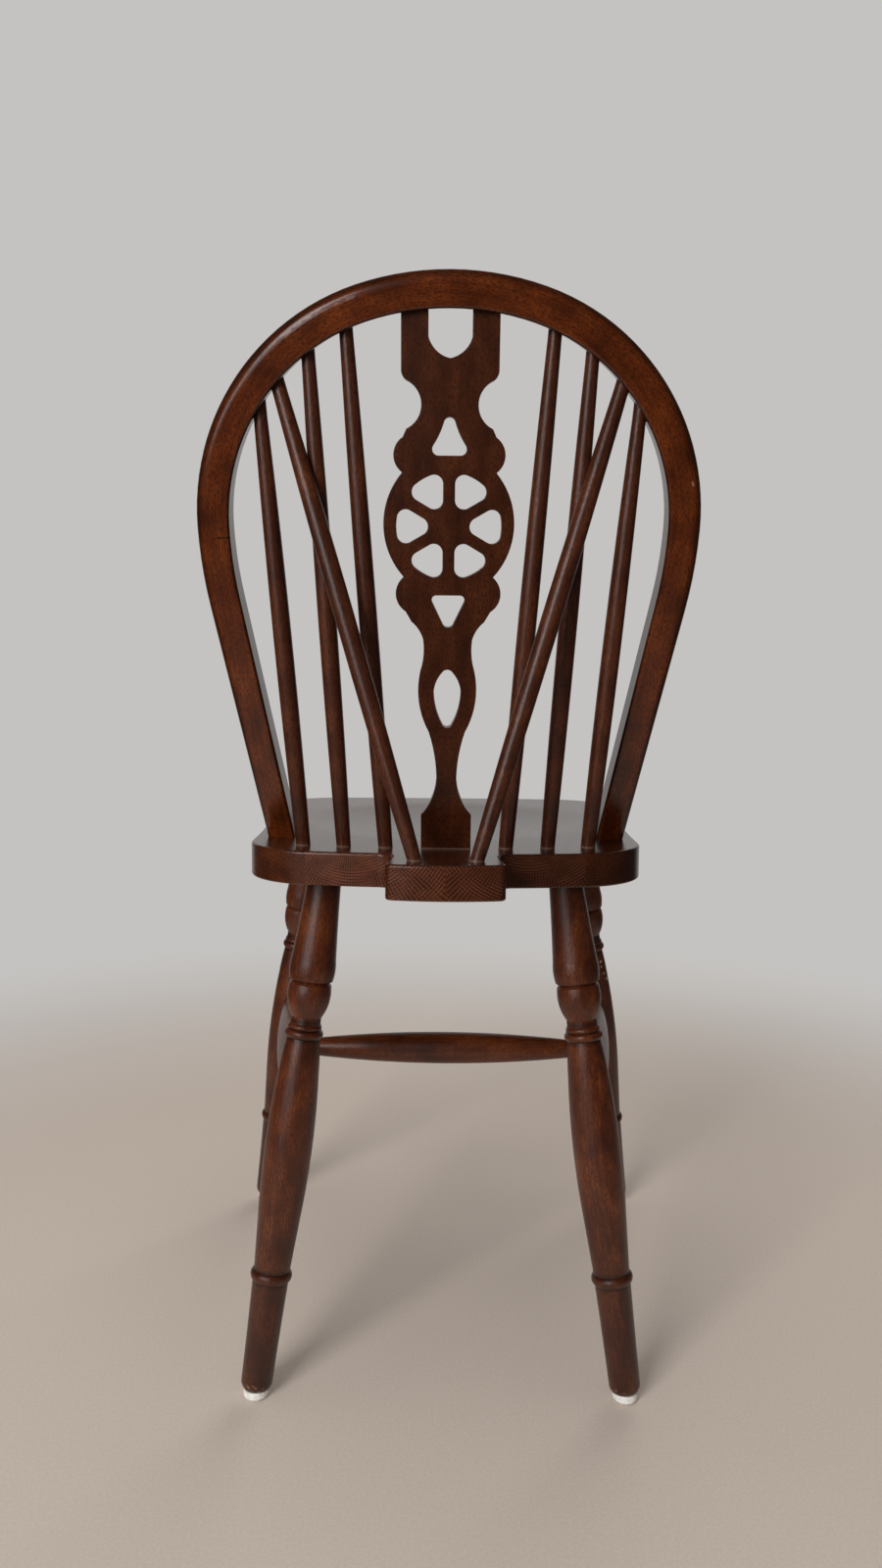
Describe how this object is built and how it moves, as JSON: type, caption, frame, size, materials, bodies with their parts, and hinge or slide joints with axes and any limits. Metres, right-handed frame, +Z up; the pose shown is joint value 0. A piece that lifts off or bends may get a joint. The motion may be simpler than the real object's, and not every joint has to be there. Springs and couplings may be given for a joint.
{
  "type": "wheelback chair",
  "caption": "Wheelback dining chair in dark stained beech: bent bow, turned spindles and braces, pierced wheel splat, glued seat with a tail, turned legs and H stretchers on glides",
  "frame": {"origin": "on the floor, under the middle of the chair's overall width and length", "axes": "+X is the sitter's left, -Y is forward, +Z is up"},
  "size_m": [0.4064, 0.441, 0.8451],
  "materials": {
    "bow_beech": "dark red-brown stain under semi-gloss lacquer, steam-bent beech",
    "stick_beech": "dark red-brown stain under semi-gloss lacquer, turned beech",
    "splat_beech": "dark red-brown stain under semi-gloss lacquer, flat-sawn beech board",
    "seat_beech": "dark red-brown stain under semi-gloss lacquer, glued-up beech boards",
    "leg_beech": "dark red-brown stain under semi-gloss lacquer, turned beech",
    "stretcher_beech": "dark red-brown stain under semi-gloss lacquer, turned beech",
    "glide_plastic": "moulded white plastic, slightly scuffed",
    "nail_steel": "zinc-plated wire nail"
  },
  "bodies": {
    "root": {"bow": "bow_beech", "spindle_inner_left": "stick_beech", "spindle_middle_left": "stick_beech", "spindle_outer_left": "stick_beech", "brace_left": "stick_beech", "spindle_inner_right": "stick_beech", "spindle_middle_right": "stick_beech", "spindle_outer_right": "stick_beech", "brace_right": "stick_beech", "splat": "splat_beech", "seat_board_inner_left": "seat_beech", "seat_board_outer_left": "seat_beech", "seat_board_inner_right": "seat_beech", "seat_board_outer_right": "seat_beech", "leg_rear_left": "leg_beech", "leg_rear_right": "leg_beech", "leg_front_left": "leg_beech", "leg_front_right": "leg_beech", "side_stretcher_left": "stretcher_beech", "side_stretcher_right": "stretcher_beech", "cross_stretcher": "stretcher_beech", "glide_rear_left": "glide_plastic", "glide_rear_right": "glide_plastic", "glide_front_left": "glide_plastic", "glide_front_right": "glide_plastic", "glide_nails": "nail_steel"}
  },
  "joints": []
}
